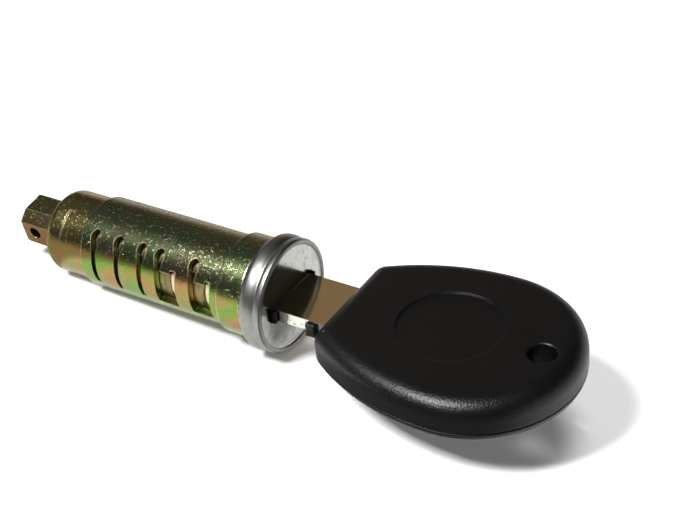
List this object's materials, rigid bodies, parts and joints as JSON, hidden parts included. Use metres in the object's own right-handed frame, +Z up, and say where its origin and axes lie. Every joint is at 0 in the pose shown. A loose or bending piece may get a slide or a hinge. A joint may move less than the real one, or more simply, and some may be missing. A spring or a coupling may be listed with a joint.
{
  "type": "door lock cylinder with key",
  "caption": "Slotted metal tube lock for a vehicle door handle, with a rounded head, a square drive lug behind and a flat key with a black plastic bow in place.",
  "frame": {"origin": "on the lock axis, at the rear shoulder of the sleeve's front collar, the face that seats in the door handle", "axes": "+X along the lock axis towards the key, +Z up as the lock lies in the picture, the slotted side seen there facing -Y"},
  "size_m": [0.103, 0.0332, 0.019],
  "materials": {
    "plated_steel": "yellow passivated zinc plate, worn",
    "plain_steel": "plain",
    "spring_steel": "drawn wire",
    "rotor_brass": "cast, dull",
    "head_metal": "satin, cast face mottled",
    "black_moulding": "matte",
    "blade_metal": "bright plated, lightly worn",
    "wafer_brass": "stamped, darkened",
    "bow_plastic": "fine-grained, slightly waxy"
  },
  "bodies": {
    "sleeve": {"sleeve": "plated_steel", "clutch_washer": "plain_steel", "clutch_spring": "spring_steel"},
    "rotor": {"plug": "rotor_brass", "head_cap": "head_metal", "shutter_housing": "black_moulding", "shutter_pin": "plain_steel", "shutter_spring": "spring_steel", "tail_lug": "plated_steel", "lug_pin": "plain_steel", "wafer_spring_1": "spring_steel", "wafer_spring_2": "spring_steel", "wafer_spring_3": "spring_steel", "wafer_spring_4": "spring_steel", "wafer_spring_5": "spring_steel", "wafer_spring_6": "spring_steel", "wafer_spring_7": "spring_steel"},
    "wafer_1": {"wafer_1": "wafer_brass"},
    "wafer_2": {"wafer_2": "wafer_brass"},
    "wafer_3": {"wafer_3": "wafer_brass"},
    "wafer_4": {"wafer_4": "wafer_brass"},
    "wafer_5": {"wafer_5": "wafer_brass"},
    "wafer_6": {"wafer_6": "wafer_brass"},
    "wafer_7": {"wafer_7": "wafer_brass"},
    "shutter": {"shutter": "plain_steel"},
    "key": {"key_blade": "blade_metal", "key_bow_upper": "bow_plastic", "key_bow_lower": "bow_plastic"}
  },
  "joints": [
    {"name": "plug_turn", "type": "hinge", "parent": "sleeve", "child": "rotor", "pos_m": [0, 0, 0], "axis": [1, 0, 0], "range_deg": [-75, 75]},
    {"name": "key_slide", "type": "slide", "parent": "rotor", "child": "key", "axis": [1, 0, 0], "range_m": [0, 0.038]},
    {"name": "wafer_1_slide", "type": "slide", "parent": "rotor", "child": "wafer_1", "axis": [0, 0.9863, 0.165], "range_m": [0, 0.0006], "stiffness_N_per_m": 200, "springref_m": -0.0015, "deforming": ["wafer_spring_1"]},
    {"name": "wafer_2_slide", "type": "slide", "parent": "rotor", "child": "wafer_2", "axis": [0, 0.9863, 0.165], "range_m": [0, 0.0006], "stiffness_N_per_m": 200, "springref_m": -0.0015, "deforming": ["wafer_spring_2"]},
    {"name": "wafer_3_slide", "type": "slide", "parent": "rotor", "child": "wafer_3", "axis": [0, 0.9863, 0.165], "range_m": [0, 0.0006], "stiffness_N_per_m": 200, "springref_m": -0.0015, "deforming": ["wafer_spring_3"]},
    {"name": "wafer_4_slide", "type": "slide", "parent": "rotor", "child": "wafer_4", "axis": [0, 0.9863, 0.165], "range_m": [0, 0.0006], "stiffness_N_per_m": 200, "springref_m": -0.0015, "deforming": ["wafer_spring_4"]},
    {"name": "wafer_5_slide", "type": "slide", "parent": "rotor", "child": "wafer_5", "axis": [0, 0.9863, 0.165], "range_m": [0, 0.0006], "stiffness_N_per_m": 200, "springref_m": -0.0015, "deforming": ["wafer_spring_5"]},
    {"name": "wafer_6_slide", "type": "slide", "parent": "rotor", "child": "wafer_6", "axis": [0, -0.9863, -0.165], "range_m": [0, 0.0006], "stiffness_N_per_m": 200, "springref_m": -0.0015, "deforming": ["wafer_spring_6"]},
    {"name": "wafer_7_slide", "type": "slide", "parent": "rotor", "child": "wafer_7", "axis": [0, -0.9863, -0.165], "range_m": [0, 0.0006], "stiffness_N_per_m": 200, "springref_m": -0.0015, "deforming": ["wafer_spring_7"]},
    {"name": "shutter_swing", "type": "hinge", "parent": "rotor", "child": "shutter", "pos_m": [0.00714, 0.00039, -0.00232], "axis": [0, -0.9863, -0.165], "range_deg": [0, 7], "stiffness_Nm_per_rad": 0.002, "springref_deg": -34.38, "deforming": ["shutter_spring"]}
  ]
}
